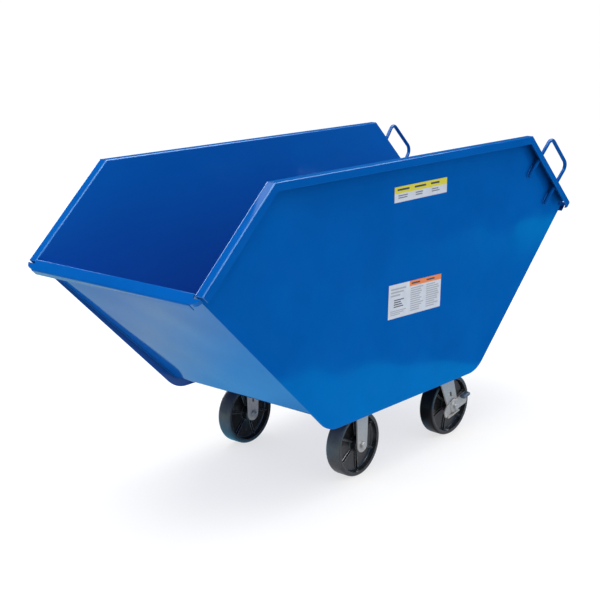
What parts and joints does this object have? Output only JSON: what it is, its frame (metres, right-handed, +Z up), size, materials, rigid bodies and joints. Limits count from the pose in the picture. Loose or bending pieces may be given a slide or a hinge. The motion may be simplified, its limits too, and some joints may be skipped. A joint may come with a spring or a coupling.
{
  "type": "chip and waste cart",
  "caption": "Open-topped blue steel waste cart with sloping ends, folded rim, side handles, rigid front casters and braked swivel rear casters.",
  "frame": {"origin": "on the ground, under the middle of the tub", "axes": "+X along the cart toward the push handles and swivel casters, +Y toward the right-hand side of someone pushing it, +Z up"},
  "size_m": [1.8464, 0.672, 0.962],
  "materials": {
    "blue_paint": "semi-gloss powder coat",
    "zinc_plate": "bright zinc plating",
    "bushing_steel": "turned steel tube",
    "fastener_steel": "zinc-plated fasteners",
    "black_nylon": "moulded, semi-gloss",
    "pedal_rubber": "matte moulded rubber",
    "upper_decal": "plain laminated sticker with a yellow band",
    "lower_decal": "plain laminated sticker with an orange band"
  },
  "bodies": {
    "tub": {"tub_wrap": "blue_paint", "side_panel_left": "blue_paint", "side_panel_right": "blue_paint", "handle_left": "blue_paint", "handle_right": "blue_paint", "decal_upper": "upper_decal", "decal_lower": "lower_decal", "caster_pad_front": "blue_paint", "caster_pad_rear": "blue_paint", "rigid_fork_front_left": "zinc_plate", "axle_bolt_front_left": "fastener_steel", "axle_nut_front_left": "fastener_steel", "mount_bolt_front_left_1": "fastener_steel", "mount_bolt_front_left_2": "fastener_steel", "mount_bolt_front_left_3": "fastener_steel", "mount_bolt_front_left_4": "fastener_steel", "rigid_fork_front_right": "zinc_plate", "axle_bolt_front_right": "fastener_steel", "axle_nut_front_right": "fastener_steel", "mount_bolt_front_right_1": "fastener_steel", "mount_bolt_front_right_2": "fastener_steel", "mount_bolt_front_right_3": "fastener_steel", "mount_bolt_front_right_4": "fastener_steel", "swivel_plate_rear_left": "zinc_plate", "swivel_raceway_rear_left": "zinc_plate", "kingpin_rear_left": "fastener_steel", "mount_bolt_rear_left_1": "fastener_steel", "mount_bolt_rear_left_2": "fastener_steel", "mount_bolt_rear_left_3": "fastener_steel", "mount_bolt_rear_left_4": "fastener_steel", "swivel_plate_rear_right": "zinc_plate", "swivel_raceway_rear_right": "zinc_plate", "kingpin_rear_right": "fastener_steel", "mount_bolt_rear_right_1": "fastener_steel", "mount_bolt_rear_right_2": "fastener_steel", "mount_bolt_rear_right_3": "fastener_steel", "mount_bolt_rear_right_4": "fastener_steel"},
    "front_left_wheel": {"wheel_front_left": "black_nylon", "axle_bushing_front_left": "bushing_steel"},
    "front_right_wheel": {"wheel_front_right": "black_nylon", "axle_bushing_front_right": "bushing_steel"},
    "rear_left_swivel": {"swivel_fork_rear_left": "zinc_plate", "axle_bolt_rear_left": "fastener_steel", "axle_nut_rear_left": "fastener_steel"},
    "rear_left_wheel": {"wheel_rear_left": "black_nylon", "axle_bushing_rear_left": "bushing_steel"},
    "rear_left_brake": {"brake_lever_rear_left": "zinc_plate", "brake_pad_rear_left": "pedal_rubber"},
    "rear_right_swivel": {"swivel_fork_rear_right": "zinc_plate", "axle_bolt_rear_right": "fastener_steel", "axle_nut_rear_right": "fastener_steel"},
    "rear_right_wheel": {"wheel_rear_right": "black_nylon", "axle_bushing_rear_right": "bushing_steel"},
    "rear_right_brake": {"brake_lever_rear_right": "zinc_plate", "brake_pad_rear_right": "pedal_rubber"}
  },
  "joints": [
    {"name": "front_left_wheel_spin", "type": "hinge", "parent": "tub", "child": "front_left_wheel", "pos_m": [-0.161, -0.222, 0.1016], "axis": [0, 1, 0], "continuous": true},
    {"name": "front_right_wheel_spin", "type": "hinge", "parent": "tub", "child": "front_right_wheel", "pos_m": [-0.161, 0.222, 0.1016], "axis": [0, 1, 0], "continuous": true},
    {"name": "rear_left_swivel_turn", "type": "hinge", "parent": "tub", "child": "rear_left_swivel", "pos_m": [0.267, -0.222, 0.2228], "axis": [0, 0, 1], "continuous": true},
    {"name": "rear_left_wheel_spin", "type": "hinge", "parent": "rear_left_swivel", "child": "rear_left_wheel", "pos_m": [0.32407, -0.22499, 0.1016], "axis": [0.0523, 0.9986, 0], "continuous": true},
    {"name": "rear_left_brake_press", "type": "hinge", "parent": "rear_left_swivel", "child": "rear_left_brake", "pos_m": [0.32407, -0.22499, 0.1016], "axis": [0.0523, 0.9986, 0], "range_deg": [0, 24]},
    {"name": "rear_right_swivel_turn", "type": "hinge", "parent": "tub", "child": "rear_right_swivel", "pos_m": [0.267, 0.222, 0.2228], "axis": [0, 0, 1], "continuous": true},
    {"name": "rear_right_wheel_spin", "type": "hinge", "parent": "rear_right_swivel", "child": "rear_right_wheel", "pos_m": [0.32415, 0.222, 0.1016], "axis": [0, 1, 0], "continuous": true},
    {"name": "rear_right_brake_press", "type": "hinge", "parent": "rear_right_swivel", "child": "rear_right_brake", "pos_m": [0.32415, 0.222, 0.1016], "axis": [0, 1, 0], "range_deg": [0, 24]}
  ]
}
